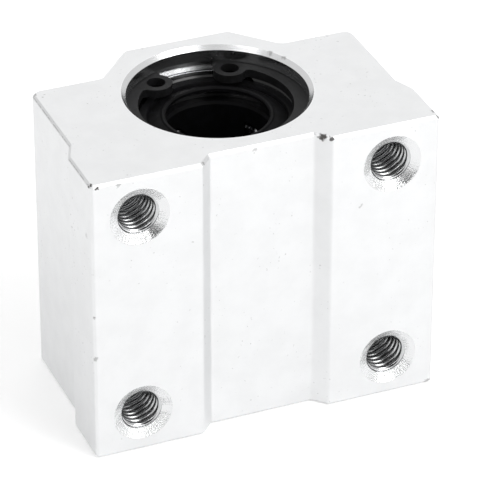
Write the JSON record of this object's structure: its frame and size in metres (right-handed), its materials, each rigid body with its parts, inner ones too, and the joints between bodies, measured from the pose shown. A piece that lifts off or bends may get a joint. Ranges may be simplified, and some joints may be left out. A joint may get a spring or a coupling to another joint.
{
  "type": "linear bearing block",
  "caption": "Extruded aluminium pillow block with a closed linear ball bushing held by circlips, for a 12 mm shaft.",
  "frame": {"origin": "on the shaft's axis, half way along the block", "axes": "+Z along the shaft, -Y out of the mounting face, +X across the block"},
  "size_m": [0.042, 0.028, 0.036],
  "materials": {
    "housing_alloy": "clear anodised extrusion, sawn and milled ends",
    "bearing_steel": "ground bearing steel",
    "ring_steel": "phosphated spring steel",
    "cage_resin": "moulded acetal",
    "seal_rubber": "moulded nitrile rubber",
    "ball_steel": "polished bearing balls"
  },
  "bodies": {
    "block": {"housing": "housing_alloy", "bearing_sleeve": "bearing_steel", "ball_cage": "cage_resin", "circlip_top": "ring_steel", "circlip_bottom": "ring_steel", "snap_ring_top": "bearing_steel", "snap_ring_bottom": "bearing_steel", "seal_top": "seal_rubber", "seal_bottom": "seal_rubber"},
    "load_row_1": {"load_row_1": "ball_steel"},
    "return_row_1": {"return_row_1": "ball_steel"},
    "top_turn_1": {"top_turn_1": "ball_steel"},
    "bottom_turn_1": {"bottom_turn_1": "ball_steel"},
    "load_row_2": {"load_row_2": "ball_steel"},
    "return_row_2": {"return_row_2": "ball_steel"},
    "top_turn_2": {"top_turn_2": "ball_steel"},
    "bottom_turn_2": {"bottom_turn_2": "ball_steel"},
    "load_row_3": {"load_row_3": "ball_steel"},
    "return_row_3": {"return_row_3": "ball_steel"},
    "top_turn_3": {"top_turn_3": "ball_steel"},
    "bottom_turn_3": {"bottom_turn_3": "ball_steel"},
    "load_row_4": {"load_row_4": "ball_steel"},
    "return_row_4": {"return_row_4": "ball_steel"},
    "top_turn_4": {"top_turn_4": "ball_steel"},
    "bottom_turn_4": {"bottom_turn_4": "ball_steel"}
  },
  "joints": [
    {"name": "load_row_1_run", "type": "slide", "parent": "block", "child": "load_row_1", "axis": [0, 0, 1], "range_m": [-0.00135, 0.00135]},
    {"name": "return_row_1_run", "type": "slide", "parent": "block", "child": "return_row_1", "axis": [0, 0, 1], "range_m": [-0.00135, 0.00135]},
    {"name": "top_turn_1_run", "type": "hinge", "parent": "block", "child": "top_turn_1", "pos_m": [0.00618, 0.00408, 0.0081], "axis": [-0.9429, -0.3331, 0], "range_deg": [-45.5, 45.5]},
    {"name": "bottom_turn_1_run", "type": "hinge", "parent": "block", "child": "bottom_turn_1", "pos_m": [0.00618, 0.00408, -0.0081], "axis": [-0.9429, -0.3331, 0], "range_deg": [-45.5, 45.5]},
    {"name": "load_row_2_run", "type": "slide", "parent": "block", "child": "load_row_2", "axis": [0, 0, 1], "range_m": [-0.00135, 0.00135]},
    {"name": "return_row_2_run", "type": "slide", "parent": "block", "child": "return_row_2", "axis": [0, 0, 1], "range_m": [-0.00135, 0.00135]},
    {"name": "top_turn_2_run", "type": "hinge", "parent": "block", "child": "top_turn_2", "pos_m": [-0.00408, 0.00618, 0.0081], "axis": [0.3331, -0.9429, 0], "range_deg": [-45.5, 45.5]},
    {"name": "bottom_turn_2_run", "type": "hinge", "parent": "block", "child": "bottom_turn_2", "pos_m": [-0.00408, 0.00618, -0.0081], "axis": [0.3331, -0.9429, 0], "range_deg": [-45.5, 45.5]},
    {"name": "load_row_3_run", "type": "slide", "parent": "block", "child": "load_row_3", "axis": [0, 0, 1], "range_m": [-0.00135, 0.00135]},
    {"name": "return_row_3_run", "type": "slide", "parent": "block", "child": "return_row_3", "axis": [0, 0, 1], "range_m": [-0.00135, 0.00135]},
    {"name": "top_turn_3_run", "type": "hinge", "parent": "block", "child": "top_turn_3", "pos_m": [-0.00618, -0.00408, 0.0081], "axis": [0.9429, 0.3331, 0], "range_deg": [-45.5, 45.5]},
    {"name": "bottom_turn_3_run", "type": "hinge", "parent": "block", "child": "bottom_turn_3", "pos_m": [-0.00618, -0.00408, -0.0081], "axis": [0.9429, 0.3331, 0], "range_deg": [-45.5, 45.5]},
    {"name": "load_row_4_run", "type": "slide", "parent": "block", "child": "load_row_4", "axis": [0, 0, 1], "range_m": [-0.00135, 0.00135]},
    {"name": "return_row_4_run", "type": "slide", "parent": "block", "child": "return_row_4", "axis": [0, 0, 1], "range_m": [-0.00135, 0.00135]},
    {"name": "top_turn_4_run", "type": "hinge", "parent": "block", "child": "top_turn_4", "pos_m": [0.00408, -0.00618, 0.0081], "axis": [-0.3331, 0.9429, 0], "range_deg": [-45.5, 45.5]},
    {"name": "bottom_turn_4_run", "type": "hinge", "parent": "block", "child": "bottom_turn_4", "pos_m": [0.00408, -0.00618, -0.0081], "axis": [-0.3331, 0.9429, 0], "range_deg": [-45.5, 45.5]}
  ],
  "couplings": [
    {"joint": "return_row_1_run", "follows": "load_row_1_run", "ratio": -1},
    {"joint": "top_turn_1_run", "follows": "load_row_1_run", "rad_per_m": 581.78},
    {"joint": "bottom_turn_1_run", "follows": "load_row_1_run", "rad_per_m": 581.78},
    {"joint": "return_row_2_run", "follows": "load_row_2_run", "ratio": -1},
    {"joint": "top_turn_2_run", "follows": "load_row_2_run", "rad_per_m": 581.78},
    {"joint": "bottom_turn_2_run", "follows": "load_row_2_run", "rad_per_m": 581.78},
    {"joint": "return_row_3_run", "follows": "load_row_3_run", "ratio": -1},
    {"joint": "top_turn_3_run", "follows": "load_row_3_run", "rad_per_m": 581.78},
    {"joint": "bottom_turn_3_run", "follows": "load_row_3_run", "rad_per_m": 581.78},
    {"joint": "return_row_4_run", "follows": "load_row_4_run", "ratio": -1},
    {"joint": "top_turn_4_run", "follows": "load_row_4_run", "rad_per_m": 581.78},
    {"joint": "bottom_turn_4_run", "follows": "load_row_4_run", "rad_per_m": 581.78}
  ]
}
